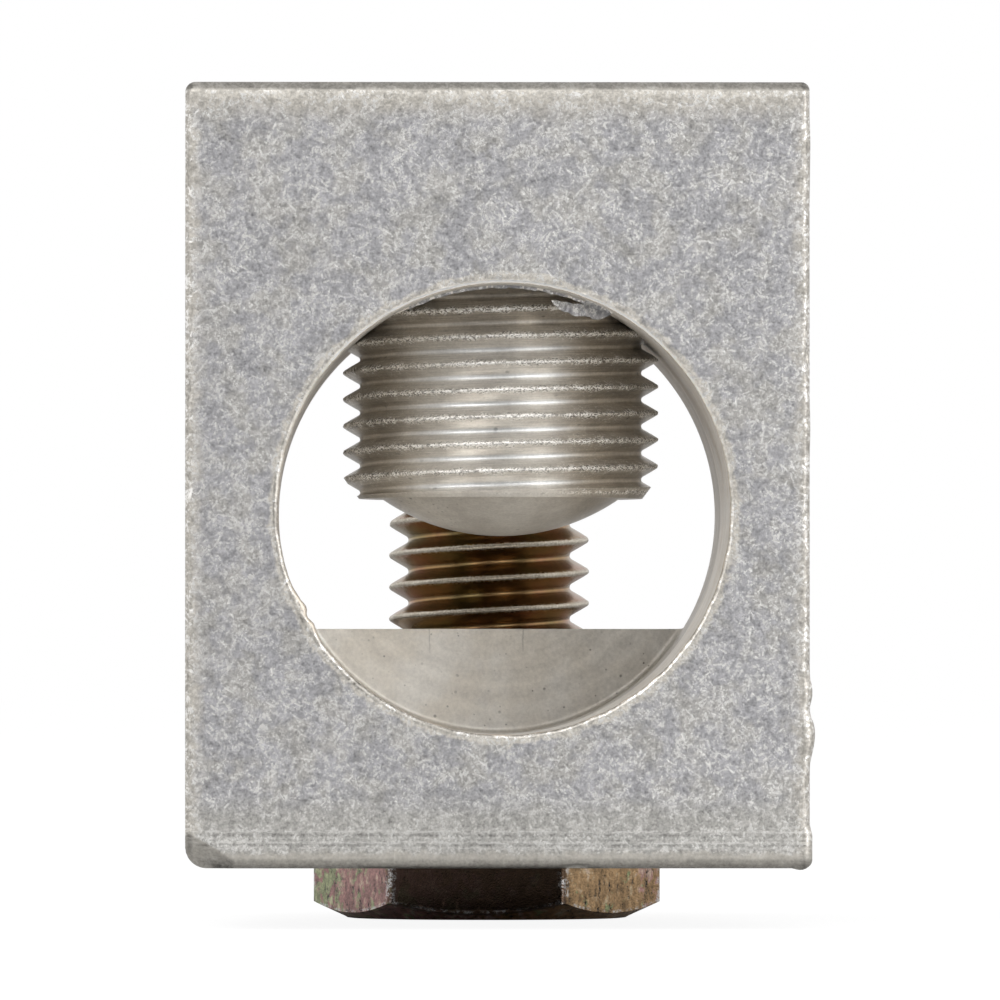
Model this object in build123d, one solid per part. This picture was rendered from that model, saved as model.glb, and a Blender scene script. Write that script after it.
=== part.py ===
from build123d import *

import math
import os

# Millimetres, +Z up. The wire enters the barrel from the front along +Y, and X runs across the lug.
# The pieces are drawn with y = 0 on the barrel's front face and z = 0 under the barrel, and are
# moved at the end so that the origin lies under the middle of the assembled lug.

# Lug body: an extruded profile sawn to width, a barrel with a tongue behind it
body_width = 36.6
body_length = 57.15
barrel_length = 28.5
barrel_height = 46.1
tongue_bottom = 4.1
tongue_top = 14.15
die_radius = 0.6
root_radius = 0.8
tumbled_radius = 0.35

# Wire bore: drilled from the front, open behind the barrel above the tongue and blind below it
wire_bore_radius = 13.25
wire_bore_x = 0.4
wire_bore_z = 21.05
bore_corner_radius = 0.8
bore_mouth_chamfer = 0.45

# Setscrew: 3/4-16 thread, domed point, hex socket
setscrew_radius = 9.43
setscrew_length = 25.4
setscrew_x = wire_bore_x
setscrew_y = barrel_length / 2
setscrew_tip_z = 19.63
dome_radius = 7.1
dome_height = 2.22
point_ring_radius = 8.46
point_chamfer_height = 1.3
setscrew_top_chamfer = 0.9
socket_across_flats = 9.525
socket_depth = 10.0
socket_mouth_chamfer = 0.4

# Mounting bolt: 1/2-13 thread, hex head under the tongue
bolt_radius = 6.2
bolt_length = 25.4
bolt_x = 0.13
bolt_y = (barrel_length + body_length) / 2 - 0.5
bolt_end_chamfer = 1.2
head_across_flats = 18.7
head_height = 7.75
head_end_radius = 8.5
head_chamfer_angle = 24.5
head_turn = -4.6
washer_face_height = 0.4

# Running clearance of each screw in its hole, and the lead-in chamfers of the holes
thread_clearance = 0.05
setscrew_hole_chamfer = 0.8
bolt_hole_chamfer = 0.5


def profile_blank():
    """Barrel and tongue extruded across the lug, with die radii and tumbled sawn edges."""
    outline = [
        (0, 0),
        (barrel_length, 0),
        (barrel_length, tongue_bottom),
        (body_length, tongue_bottom),
        (body_length, tongue_top),
        (barrel_length, tongue_top),
        (barrel_length, barrel_height),
        (0, barrel_height),
    ]
    inside_corners = [outline[2], outline[5]]
    with BuildPart() as blank:
        with BuildSketch(Plane.YZ) as profile:
            Polygon(*outline, align=None)
            inner = [profile.vertices().sort_by_distance(corner)[0] for corner in inside_corners]
            outer = [v for v in profile.vertices() if v not in inner]
            fillet(outer, die_radius)
            fillet([profile.vertices().sort_by_distance(v)[0] for v in inner], root_radius)
        extrude(amount=body_width / 2, both=True)
        fillet(blank.faces().filter_by(Axis.X).edges(), tumbled_radius)
    return blank.part


def wire_bore():
    """Round-cornered cutter for the wire bore, deep enough to clear the root radius of the tongue."""
    depth = barrel_length + root_radius
    cutter = Cylinder(wire_bore_radius, depth, align=(Align.CENTER, Align.CENTER, Align.MIN))
    cutter = fillet(cutter.edges().sort_by(Axis.Z)[-1:], bore_corner_radius)
    return Location((wire_bore_x, 0, wire_bore_z), (-90, 0, 0)) * cutter


def drilled_hole(radius, bottom, top):
    """Straight hole cutter on the Z axis."""
    return Pos(0, 0, bottom) * Cylinder(radius, top - bottom, align=(Align.CENTER, Align.CENTER, Align.MIN))


def countersink(radius, depth, surface, side):
    """45 degree lead-in cutter for a flat face at height z = surface that looks up (1) or down (-1)."""
    over = 0.2
    cone = Cone(radius, radius + depth + over, depth + over, align=(Align.CENTER, Align.CENTER, Align.MIN))
    if side > 0:
        return Pos(0, 0, surface - depth) * cone
    return Pos(0, 0, surface + depth) * Rot(180, 0, 0) * cone


def lug_body():
    """Body with its wire bore, the setscrew hole from the top and the bolt hole through the tongue."""
    body = profile_blank() - wire_bore()
    mouth = body.edges().filter_by(GeomType.CIRCLE).group_by(Axis.Y)[0]
    mouth = [e for e in mouth if abs(e.radius - wire_bore_radius) < 0.01]
    body = chamfer(mouth, bore_mouth_chamfer)
    screw_hole_radius = setscrew_radius + thread_clearance
    screw_hole = drilled_hole(screw_hole_radius, wire_bore_z, barrel_height + 1)
    screw_hole += countersink(screw_hole_radius, setscrew_hole_chamfer, barrel_height, 1)
    bolt_hole_radius = bolt_radius + thread_clearance
    bolt_hole = drilled_hole(bolt_hole_radius, tongue_bottom - 1, tongue_top + 1)
    bolt_hole += countersink(bolt_hole_radius, bolt_hole_chamfer, tongue_top, 1)
    bolt_hole += countersink(bolt_hole_radius, bolt_hole_chamfer, tongue_bottom, -1)
    body -= Pos(setscrew_x, setscrew_y, 0) * screw_hole
    body -= Pos(bolt_x, bolt_y, 0) * bolt_hole
    return body


def setscrew():
    """Domed setscrew with its tip at z = 0, before it is set in the barrel."""
    with BuildPart() as screw:
        with BuildSketch(Plane.XZ):
            with BuildLine():
                top = setscrew_length
                shoulder = dome_height + point_chamfer_height
                sphere = (dome_radius**2 + dome_height**2) / (2 * dome_height)
                half_angle = math.asin(dome_radius / sphere) / 2
                middle = (sphere * math.sin(half_angle), sphere * (1 - math.cos(half_angle)))
                ThreePointArc((0, 0), middle, (dome_radius, dome_height))
                Polyline(
                    (dome_radius, dome_height),
                    (point_ring_radius, dome_height),
                    (setscrew_radius, shoulder),
                    (setscrew_radius, top - setscrew_top_chamfer),
                    (setscrew_radius - setscrew_top_chamfer, top),
                    (0, top),
                    (0, 0),
                )
            make_face()
        revolve(axis=Axis.Z)
        with BuildSketch(Plane.XY.offset(setscrew_length)):
            RegularPolygon(socket_across_flats / 2, 6, major_radius=False)
        extrude(amount=-socket_depth, mode=Mode.SUBTRACT)
        rim = screw.faces().sort_by(Axis.Z)[-1].inner_wires()[0].edges()
        chamfer(rim, socket_mouth_chamfer)
    return screw.part


def mounting_bolt():
    """Hex bolt with its bearing face at z = 0, the shank upwards and the head below."""
    with BuildPart() as bolt:
        Cylinder(bolt_radius, bolt_length, align=(Align.CENTER, Align.CENTER, Align.MIN))
        chamfer(bolt.edges().sort_by(Axis.Z)[-1:], bolt_end_chamfer)
    hexagon = RegularPolygon(head_across_flats / 2, 6, major_radius=False, rotation=head_turn)
    head = Pos(0, 0, -head_height) * extrude(hexagon, amount=head_height - washer_face_height)
    corner = head_across_flats / math.sqrt(3)
    flat = head_across_flats / 2
    drop = (corner + 1 - head_end_radius) * math.tan(math.radians(head_chamfer_angle))
    with BuildPart() as turned:
        with BuildSketch(Plane.XZ):
            Polygon(
                (0, -head_height),
                (head_end_radius, -head_height),
                (corner + 1, -head_height + drop),
                (corner + 1, 0),
                (0, 0),
                align=None,
            )
        revolve(axis=Axis.Z)
    head &= turned.part
    washer_face = Cylinder(flat * 0.96, washer_face_height, align=(Align.CENTER, Align.CENTER, Align.MAX))
    return bolt.part + head + washer_face


head_bottom = tongue_bottom - head_height
to_origin = Pos(0, -body_length / 2, -head_bottom)
pieces = {
    "lug_body": lug_body(),
    "setscrew": Pos(setscrew_x, setscrew_y, setscrew_tip_z) * setscrew(),
    "mounting_bolt": Pos(bolt_x, bolt_y, tongue_bottom) * mounting_bolt(),
}

os.makedirs("parts", exist_ok=True)
for name, piece in pieces.items():
    placed = to_origin * piece
    export_step(placed, f"parts/{name}.step")
    print(name, round(placed.volume, 1), placed.bounding_box())
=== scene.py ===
import math
from contextlib import contextmanager

import bmesh
import bpy
import numpy as np
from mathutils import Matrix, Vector, noise


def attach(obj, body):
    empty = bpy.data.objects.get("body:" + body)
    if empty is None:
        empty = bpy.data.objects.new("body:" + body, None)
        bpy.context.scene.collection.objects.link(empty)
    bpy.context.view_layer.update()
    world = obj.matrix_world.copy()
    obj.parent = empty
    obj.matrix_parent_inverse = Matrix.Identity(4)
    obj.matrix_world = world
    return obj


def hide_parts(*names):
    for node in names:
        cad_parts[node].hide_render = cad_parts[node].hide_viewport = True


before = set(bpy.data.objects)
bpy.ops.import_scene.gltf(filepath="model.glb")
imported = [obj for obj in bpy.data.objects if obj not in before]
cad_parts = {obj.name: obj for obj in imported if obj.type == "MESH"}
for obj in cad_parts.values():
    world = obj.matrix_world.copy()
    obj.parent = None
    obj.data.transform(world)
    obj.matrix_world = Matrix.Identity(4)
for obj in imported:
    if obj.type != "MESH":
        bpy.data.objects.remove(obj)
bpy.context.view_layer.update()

# Millimetres in the row frame, as in the CAD source: the mesh code works in these and scales to metres.
# Lug body
HALF_WIDTH = 18.3
FRONT, BARREL_REAR, TONGUE_END = -28.575, -0.075, 28.575
BARREL_BOTTOM, BARREL_TOP = 3.65, 49.75
TONGUE_BOTTOM, TONGUE_TOP = 7.75, 17.8
DIE_RADIUS, ROOT_RADIUS, SAWN_RADIUS = 0.6, 0.8, 0.35
# Wire bore
BORE_X, BORE_Z, BORE_R, BLIND_END = 0.4, 24.7, 13.25, 0.725
MOUTH_RADIUS, BORE_CORNER = 0.22, 0.35
# Setscrew and its tapped hole; crest_height is where the thread's crest passes the +X side
SCREW_X, SCREW_Y, SCREW_TIP = 0.4, -14.325, 23.28
SCREW = dict(centre=(SCREW_X, SCREW_Y), pitch=1.5875, crest=9.43, root=8.39, crest_height=29.036)
SCREW_TOP = SCREW_TIP + 25.4
SCREW_HOLE, SCREW_SINK = 9.48, 0.8
DOME_RADIUS, DOME_HEIGHT, POINT_RING = 7.1, 2.22, 8.46
SOCKET_FLATS, SOCKET_DEPTH = 9.525, 10
# Mounting bolt and its tapped hole; the head stands a little off the shank's axis, turned a few degrees
BOLT_X, BOLT_Y, HEAD_X = 0.13, 13.75, -0.02
BOLT = dict(centre=(BOLT_X, BOLT_Y), pitch=25.4 / 13, crest=6.2, root=4.99, crest_height=21.42)
BOLT_TOP = TONGUE_BOTTOM + 25.4
BOLT_HOLE, BOLT_SINK = 6.25, 0.5
HEAD_FLAT, HEAD_HEIGHT, HEAD_END = 18.7 / 2, 7.75, 8.5
HEAD_SLOPE, HEAD_TURN = math.tan(math.radians(24.5)), -4.6
WASHER_FACE, WASHER_RADIUS = 0.4, HEAD_FLAT * 0.96
# How much wider a tapped thread is than its screw's, and how far a countersink's cutter stands out
TAP_GAP, CUT_OVER = 0.07, 0.2


def add_object(name, data):
    """A new object in the scene."""
    obj = bpy.data.objects.new(name, data)
    bpy.context.scene.collection.objects.link(obj)
    return obj


@contextmanager
def editing(mesh):
    """The mesh as a bmesh, written back at the end."""
    bm = bmesh.new()
    bm.from_mesh(mesh)
    yield bm
    bm.to_mesh(mesh)
    bm.free()


def mesh_object(name, vertices, faces):
    """A mesh object from millimetre vertices, with its normals made consistent."""
    mesh = bpy.data.meshes.new(name)
    mesh.from_pydata((np.asarray(vertices, float) * 0.001).tolist(), [], faces)
    mesh.update()
    with editing(mesh) as bm:
        bmesh.ops.remove_doubles(bm, verts=bm.verts, dist=1e-8)
        bmesh.ops.recalc_face_normals(bm, faces=bm.faces)
    return add_object(name, mesh)


def polar(radius, degrees):
    a = math.radians(degrees)
    return radius * math.cos(a), radius * math.sin(a)


def arc(cy, cz, radius, start, end, steps):
    """Points on an arc with their outward normals, angles in degrees."""
    out = []
    for i in range(steps + 1):
        dy, dz = polar(1, start + (end - start) * i / steps)
        out.append((cy + radius * dy, cz + radius * dz, dy, dz))
    return out


def run(p, q, step):
    """Points between the ends of a straight run, with the run's right-hand normal."""
    dy, dz = q[0] - p[0], q[1] - p[1]
    length = math.hypot(dy, dz)
    count = max(1, round(length / step))
    normal = (dz / length, -dy / length)
    return [(p[0] + dy * i / count, p[1] + dz * i / count, *normal) for i in range(1, count)]


def loft(rings):
    """Vertices and faces of a closed skin over rings of equal length, capped at both ends."""
    n = len(rings[0])
    faces = [[s * n + i, s * n + (i + 1) % n, (s + 1) * n + (i + 1) % n, (s + 1) * n + i]
             for s in range(len(rings) - 1) for i in range(n)]
    faces += [list(range(n)), [(len(rings) - 1) * n + i for i in range(n)]]
    return [v for ring in rings for v in ring], faces


def lathe(rows, centre, axis, segments):
    """Closed solid of revolution from (height, radius) rows that start and end on the axis."""
    turns = [2 * math.pi * i / segments for i in range(segments)]
    verts, faces = loft([[(r * math.cos(a), r * math.sin(a), h) for a in turns] for h, r in rows])
    v = np.array(verts, float)
    if axis == "Y":
        v = np.stack([v[:, 0], v[:, 2], v[:, 1]], 1)
    return v + np.array(centre, float), faces


def turned(name, rows, centre, segments):
    """Object of (height, radius) rows about an upright axis."""
    return mesh_object(name, *lathe(rows, (*centre, 0), "Z", segments))


def cone(centre, z0, r0, z1, r1):
    """Upright cone, or a cylinder where both radii are the same."""
    return turned("cone", [(z0, 0), (z0, r0), (z1, r1), (z1, 0)], centre, 128)


def countersink(thread, surface, side, radius, depth):
    """45 degree cutter for a hole's edge, in a face that looks up (side 1) or down (side -1)."""
    low, high = surface - side * depth, surface + side * CUT_OVER
    return cone(thread["centre"], low, radius, high, radius + depth + CUT_OVER)


def thread_profile(pitch, crest, root, steps):
    """(height, radius) points over one pitch of a 60 degree thread, with a rounded root and crest."""
    both = math.sqrt(3) / 2 * pitch - (crest - root)
    crest_round = both * 0.42
    root_round = both - crest_round
    points = []
    for a in np.linspace(90, 30, steps + 1)[:-1]:
        dh, dr = polar(root_round, a)
        points.append((-pitch / 2 + dh, root + (root_round - dr)))
    h0, r0 = -pitch / 2 + root_round * math.cos(math.radians(30)), root + 0.5 * root_round
    h1, r1 = -crest_round * math.cos(math.radians(30)), crest - 0.5 * crest_round
    points += [(h0 + (h1 - h0) * t, r0 + (r1 - r0) * t) for t in (0, 1 / 3, 2 / 3)]
    for a in np.linspace(30, 90, steps + 1)[:-1]:
        dh, dr = polar(crest_round, a)
        points.append((-dh, crest - (crest_round - dr)))
    points.append((0.0, crest))
    points += [(-h, r) for h, r in reversed(points[1:-1])]
    return points


def threaded_rod(centre, pitch, crest, root, crest_height, low, high, segments, grow=0.0, steps=3):
    """Right-handed threaded rod with flat fan ends, about a turn longer than from low to high."""
    profile = thread_profile(pitch, crest, root, steps)
    per = len(profile)
    first = math.floor((low - crest_height) / pitch) - 1
    last = math.ceil((high - crest_height) / pitch) + 1
    rows = (last - first) * per
    verts = []
    for row in range(rows + per):
        k, j = divmod(row, per)
        h, r = profile[j]
        z = crest_height + pitch * (first + k) + h
        r += grow
        if row >= rows:
            verts.append((centre[0] + r, centre[1], z))
            continue
        for i in range(segments):
            a = 2 * math.pi * i / segments
            rise = pitch * i / segments
            verts.append((centre[0] + r * math.cos(a), centre[1] + r * math.sin(a), z + rise))

    def index(row, i):
        if i == segments:
            row, i = row + per, 0
        return row * segments + i if row < rows else rows * segments + row - rows

    faces = [[index(row, i), index(row, i + 1), index(row + 1, i + 1), index(row + 1, i)]
             for row in range(rows - 1) for i in range(segments)]
    bottom = [index(0, i) for i in range(segments)] + [index(r, 0) for r in range(per, 0, -1)]
    top = [index(rows - 1, i) for i in range(segments + 1)]
    top += [index(r, 0) for r in range(rows + per - 2, rows - 1, -1)]
    ends = ((bottom, verts[0][2] - pitch), (top, verts[index(rows - 1, segments)][2] + pitch))
    for loop, z in ends:
        tip = len(verts)
        verts.append((centre[0], centre[1], z))
        faces += [[a, b, tip] for a, b in zip(loop, loop[1:] + loop[:1])]
    return verts, faces


def tap(thread, low, high, segments):
    """Cutter for a tapped hole between two heights."""
    rod = threaded_rod(low=low, high=high, segments=segments, grow=TAP_GAP, steps=2, **thread)
    return mesh_object("tap", *rod)


def boolean(target, other, operation):
    """Applies one boolean of target with other, and removes other."""
    modifier = target.modifiers.new("cut", "BOOLEAN")
    modifier.operation = operation
    modifier.object = other
    modifier.solver = "MANIFOLD"
    graph = bpy.context.evaluated_depsgraph_get()
    result = bpy.data.meshes.new_from_object(target.evaluated_get(graph))
    target.modifiers.clear()
    target.data = result
    bpy.data.objects.remove(other)


# Lug body: the L-shaped profile across the lug, rounded at its sawn sides

def block_profile():
    """Closed loop of (y, z, normal y, normal z), counterclockwise with z up and y to the right.

    A corner is given by its centre and first angle, a straight run by its end and spacing.
    """
    d, r = DIE_RADIUS, ROOT_RADIUS
    loop = []

    def corner(cy, cz, start):
        loop.extend(arc(cy, cz, d, start, start + 90, 6))

    def inside_corner(cy, cz, start):
        loop.extend([(y, z, -ny, -nz) for y, z, ny, nz in arc(cy, cz, r, start, start - 90, 6)])

    def straight(y, z, spacing):
        loop.extend(run(loop[-1][:2], (y, z), spacing))

    corner(FRONT + d, BARREL_BOTTOM + d, 180)
    straight(FRONT + 2.6, BARREL_BOTTOM, 0.22)
    straight(BARREL_REAR - d, BARREL_BOTTOM, 0.8)
    corner(BARREL_REAR - d, BARREL_BOTTOM + d, 270)
    straight(BARREL_REAR, TONGUE_BOTTOM - r, 0.6)
    inside_corner(BARREL_REAR + r, TONGUE_BOTTOM - r, 180)
    straight(TONGUE_END - d, TONGUE_BOTTOM, 0.9)
    corner(TONGUE_END - d, TONGUE_BOTTOM + d, 270)
    straight(TONGUE_END, TONGUE_TOP - d, 0.8)
    corner(TONGUE_END - d, TONGUE_TOP - d, 0)
    straight(BARREL_REAR + r, TONGUE_TOP, 0.9)
    inside_corner(BARREL_REAR + r, TONGUE_TOP + r, 270)
    straight(BARREL_REAR, BARREL_TOP - d, 0.9)
    corner(BARREL_REAR - d, BARREL_TOP - d, 0)
    straight(FRONT + 2.0, BARREL_TOP, 0.9)
    straight(FRONT + d, BARREL_TOP, 0.35)
    corner(FRONT + d, BARREL_TOP - d, 90)
    straight(FRONT, 6.1, 0.38)
    straight(FRONT, BARREL_BOTTOM + d, 0.14)
    return loop


def block_blank():
    """The profile across the lug, with closer vertices where the wear needs them."""
    loop = block_profile()
    stations = []
    for degrees in (0, 22.5, 45, 67.5, 90):
        a = math.radians(degrees)
        stations.append((HALF_WIDTH - SAWN_RADIUS * (1 - math.cos(a)), SAWN_RADIUS * (1 - math.sin(a))))
    inner = HALF_WIDTH - SAWN_RADIUS
    stations += [(inner - 0.14 * i, 0.0) for i in range(1, 12)]
    wide = stations[-1][0]
    count = round(2 * wide / 0.42)
    middle = [(wide - 2 * wide * i / count, 0.0) for i in range(1, count)]
    stations += middle + [(-x, inset) for x, inset in reversed(stations)]
    rings = [[(x, y - ny * inset, z - nz * inset) for y, z, ny, nz in loop] for x, inset in stations]
    obj = mesh_object("lug_block", *loft(rings))
    cut_y = (-28.0, -27.75, -27.5, -27.2, -26.9, -26.5, -26.0, -25.2, -23, -18, -12, -6)
    cut_z = (*np.arange(4.2, 16.0, 0.33), 18.5, 22, 27, 32, 37, 42, 46, 48, 49.1)
    cuts = [((0, y, 0), (0, 1, 0)) for y in cut_y] + [((0, 0, z), (0, 0, 1)) for z in cut_z]
    with editing(obj.data) as bm:
        for side in (-1, 1):
            caps = [f for f in bm.faces if f.normal.x * side > 0.9999]
            geom = caps + list({e for f in caps for e in f.edges})
            geom += list({v for f in caps for v in f.verts})
            for place, normal in cuts:
                place = tuple(c * 0.001 for c in place)
                cut = bmesh.ops.bisect_plane(bm, geom=geom, dist=1e-7, plane_co=place, plane_no=normal)
                geom = cut["geom"]
    return obj


def bore_cutter():
    """Cutter for the wire bore, rounded at the mouth and in the blind corner."""
    flare, spread = 1.6, 76

    def mouth(degrees):
        dr, dy = polar(MOUTH_RADIUS, degrees)
        return FRONT + MOUTH_RADIUS - dy, BORE_R + MOUTH_RADIUS - dr

    y, r = mouth(spread)
    dy, dr = polar(flare, spread)
    rows = [(FRONT - 1.2, 0), (y - dy - 0.6, r + dr), (y - dy, r + dr)]
    rows += [mouth(degrees) for degrees in np.linspace(spread, 0, 9)]
    start, end, fine = FRONT + MOUTH_RADIUS, BLIND_END - BORE_CORNER, 2.2
    rows += [(start + step, BORE_R) for step in (0.12, 0.28, 0.48, 0.75, 1.1, 1.6, fine)]
    rows += [(start + fine + (end - start - fine) * i / 26, BORE_R) for i in range(1, 26)]
    for degrees in np.linspace(0, 90, 9):
        a = math.radians(degrees)
        rows.append((end + BORE_CORNER * math.sin(a), BORE_R - BORE_CORNER * (1 - math.cos(a))))
    rows += [(BLIND_END, r) for r in (11, 9, 7, 5, 3, 1.5, 0)]
    return mesh_object("bore_cutter", *lathe(rows, (BORE_X, 0, BORE_Z), "Y", 360))


def burr_flake():
    """The torn sliver of metal left under the bore's ceiling, rooted in its wall."""
    outline = [(3.2, 37.02), (3.38, 36.74), (3.66, 36.5), (3.95, 36.34), (4.22, 36.31), (4.43, 36.13),
               (4.75, 36.08), (5.1, 36.1), (5.5, 36.05), (5.62, 35.92), (5.95, 35.88), (6.22, 35.95),
               (6.9, 36.3), (6.4, 36.95), (5.35, 37.22), (5.1, 36.79), (4.8, 36.83), (4.5, 36.8),
               (4.15, 36.92), (3.8, 36.93), (3.5, 37.03)]
    tip_x, span, depth = 3.2, 3.7, -25.3
    verts = []
    for side in (-1, 1):
        for x, z in outline:
            thick = 0.03 + 0.06 * max(0.0, x - tip_x)
            curl = -0.3 * (1 - (x - tip_x) / span) ** 2
            verts.append((x, depth + curl + side * thick, z))
    n = len(outline)
    faces = [list(range(n)), list(range(2 * n - 1, n - 1, -1))]
    faces += [[i, (i + 1) % n, n + (i + 1) % n, n + i] for i in range(n)]
    flake = mesh_object("flake", verts, faces)
    with editing(flake.data) as bm:
        bmesh.ops.triangulate(bm, faces=bm.faces)
        for _ in range(2):
            long = [e for e in bm.edges if e.calc_length() > 0.00012]
            bmesh.ops.subdivide_edges(bm, edges=long, cuts=1, use_grid_fill=True)
            bmesh.ops.triangulate(bm, faces=bm.faces)
        for v in bm.verts:
            q = v.co * 1000
            v.co.y += 0.0001 * noise.noise(q * 2.2) + 0.00006 * noise.noise(q * 5.0)
            v.co.z += 0.00003 * noise.noise(q * 4.0 + Vector((9, 0, 0)))
    return flake


def burr_ridge():
    """Ragged burr along the front of the setscrew hole where it breaks out under the bore's ceiling."""
    start, sweep, count, taper = 228, 86, 150, 12
    rings = []
    for i in range(count + 1):
        ends = min(1, i / taper, (count - i) / taper)
        ragged = 0.5 + 0.5 * noise.noise(Vector((i * 0.16, 0, 0)))
        ragged += 0.25 * noise.noise(Vector((i * 0.5, 3, 0)))
        hang = ends * (0.06 + 0.2 * max(0.0, ragged))
        ring = []
        for radius, low in ((9.53, False), (9.72, False), (9.6, True), (9.52, True)):
            dx, dy = polar(radius, start + sweep * i / count)
            x, y = SCREW_X + dx, SCREW_Y + dy
            wall = BORE_Z + math.sqrt(BORE_R**2 - (x - BORE_X) ** 2)
            ring.append((x, y, wall - hang if low else wall + 0.12))
        rings.append(ring)
    return mesh_object("ridge", *loft(rings))


def smooth(value, low, high):
    """Smooth step from 0 at low to 1 at high."""
    t = np.clip((value - low) / (high - low), 0, 1)
    return t * t * (3 - 2 * t)


def mound(value, centre, half):
    """A bulge of height 1 about centre."""
    return np.maximum(0, 1 - ((value - centre) / half) ** 2) ** 1.5


def vertex_data(mesh):
    """Vertex positions in millimetres, and normals."""
    count = len(mesh.vertices)
    co, no = np.zeros(count * 3), np.zeros(count * 3)
    mesh.vertices.foreach_get("co", co)
    mesh.vertex_normals.foreach_get("vector", no)
    return co.reshape(-1, 3) * 1000, no.reshape(-1, 3)


def store(mesh, co):
    mesh.vertices.foreach_set("co", (co * 0.001).ravel())
    mesh.update()


def noises(points, scale, offset):
    return np.array([noise.noise(Vector(q)) for q in (points * scale + offset).tolist()])


# The worn bevel at the barrel's lower left corner: three points of its plane, and its outward normal
BEVEL = [np.array(q) for q in ((-17.7, -28.575, 5.44), (-15.96, -28.575, 4.38), (-17.95, -27.2, 4.0))]
BEVEL_NORMAL = np.cross(BEVEL[1] - BEVEL[0], BEVEL[2] - BEVEL[0])
BEVEL_NORMAL /= np.linalg.norm(BEVEL_NORMAL)
if BEVEL_NORMAL @ np.array((1, 1, 1)) > 0:
    BEVEL_NORMAL = -BEVEL_NORMAL


def nick_edges(co, no):
    """Uneven rounding and deeper nicks on the outer edges, away from the bore and the tapped holes."""
    x, y, z = co.T
    bore = np.hypot(x - BORE_X, z - BORE_Z)
    inside = (bore < BORE_R + 0.02) & (y < BLIND_END + 0.1)
    inside |= (np.hypot(x - SCREW_X, y - SCREW_Y) < 10.6) & (z > BORE_Z)
    inside |= (np.hypot(x - BOLT_X, y - BOLT_Y) < 7.1) & (y > BARREL_REAR)
    rim = (bore < BORE_R + 0.6) & (y < FRONT + 0.6)
    tilt = np.degrees(np.arccos(np.clip(np.abs(no).max(1), 0, 1)))
    weight = smooth(tilt, 13, 34) * ~inside * ~rim
    picked = np.nonzero(weight > 0)[0]
    q = co[picked]
    nick = 0.045 * noises(q, 0.8, (0, 0, 0)) + 0.045 * noises(q, 2.1, (9, 0, 0))
    nick -= 0.3 * np.maximum(0, noises(q, 0.55, (0, 31, 0)) - 0.3) + 0.015
    co[picked] += no[picked] * (weight[picked] * nick)[:, None]


def round_corners(co):
    """The barrel's four corners rounded as the front view shows them, and the worn bevel."""
    x, y, z = co.T
    for sx, top, radius in ((-1, False, 1.25), (-1, True, 0.62), (1, True, 0.5), (1, False, 0.5)):
        cx = sx * (HALF_WIDTH - radius)
        cz = BARREL_TOP - radius if top else BARREL_BOTTOM + radius
        dx, dz = x - cx, z - cz
        d = np.hypot(dx, dz)
        beyond = (dx * sx > 0) & (dz * (1 if top else -1) > 0) & (d > radius)
        pull = np.where(beyond & (y < BARREL_REAR + 0.01), radius / np.maximum(d, 1e-6), 1.0)
        x[:], z[:] = cx + dx * pull, cz + dz * pull
    out = (co - BEVEL[0]) @ BEVEL_NORMAL
    near = (y < FRONT + 4) & (x < -12) & (z < 8)
    co -= np.where(near & (out > 0), out, 0)[:, None] * BEVEL_NORMAL


def swell_edges(co):
    """The front face's sunken margins, the bulges on its right edge and the drip at its corner."""
    x, y, z = co.T
    sink, outer, inner = 0, 0.35, 1.35
    for margin, depth in ((HALF_WIDTH + x, 0.055), (HALF_WIDTH - x, 0.012), (z - BARREL_BOTTOM, 0.05),
                          (BARREL_TOP - z, 0.03)):
        sink = np.maximum(sink, depth * np.clip(inner - np.maximum(margin, outer), 0, 1) ** 2)
    y += sink * smooth(y, FRONT + 0.7, FRONT + 0.35)
    swell = 0.16 * mound(z, 13.98, 0.95)
    swell += 0.31 * np.where(z > 11.6, mound(z, 11.6, 1.25), mound(z, 11.6, 1.95))
    swell += 0.15 * smooth(z, 6.3, 5.5)
    swell += 0.05 * mound(z, 46.3, 1.2) + 0.04 * mound(z, 29.5, 1.6)
    x += swell * smooth(x, 17.3, 18.15) * smooth(y, FRONT + 3.0, FRONT + 0.9)
    drip = 0.1 * mound(x, 17.75, 0.5)
    z -= drip * smooth(z, 4.5, 4.0) * smooth(y, FRONT + 2.0, FRONT + 0.5)


def roughen_mouth(co):
    """The bore's uneven mouth, and the bulge on the left side of its rim."""
    x, y, z = co.T
    angle = np.degrees(np.arctan2(z - BORE_Z, x - BORE_X)) % 360
    bore = np.hypot(x - BORE_X, z - BORE_Z)
    inward = np.interp(angle, (200, 203, 205.5, 206.6, 207.6, 208.3, 209.5, 211, 213, 214.5, 217),
                       (0, 0.13, 0.27, 0.29, 0.2, 0.05, 0.15, 0.25, 0.17, 0.11, 0))
    inward *= smooth(y, FRONT + 1.5, FRONT + 0.5) * smooth(bore, BORE_R + 1.0, BORE_R + 0.3)
    ring = np.nonzero((bore < BORE_R + 0.9) & (bore > BORE_R - 0.1) & (y < FRONT + 1.2))[0]
    ragged = 0.055 * noises(co[ring], 0.9, (0, 0, 77)) + 0.035 * noises(co[ring], 2.4, (0, 55, 0))
    ragged *= smooth(y[ring], FRONT + 1.1, FRONT + 0.3)
    inward[ring] += ragged * smooth(bore[ring], BORE_R + 0.9, BORE_R + 0.45)
    grip = (bore > BORE_R - 0.1) & (y < FRONT + 1.6)
    pull = np.where(grip, 1 - inward / np.maximum(bore, 1), 1.0)
    x[:], z[:] = BORE_X + (x - BORE_X) * pull, BORE_Z + (z - BORE_Z) * pull


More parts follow.
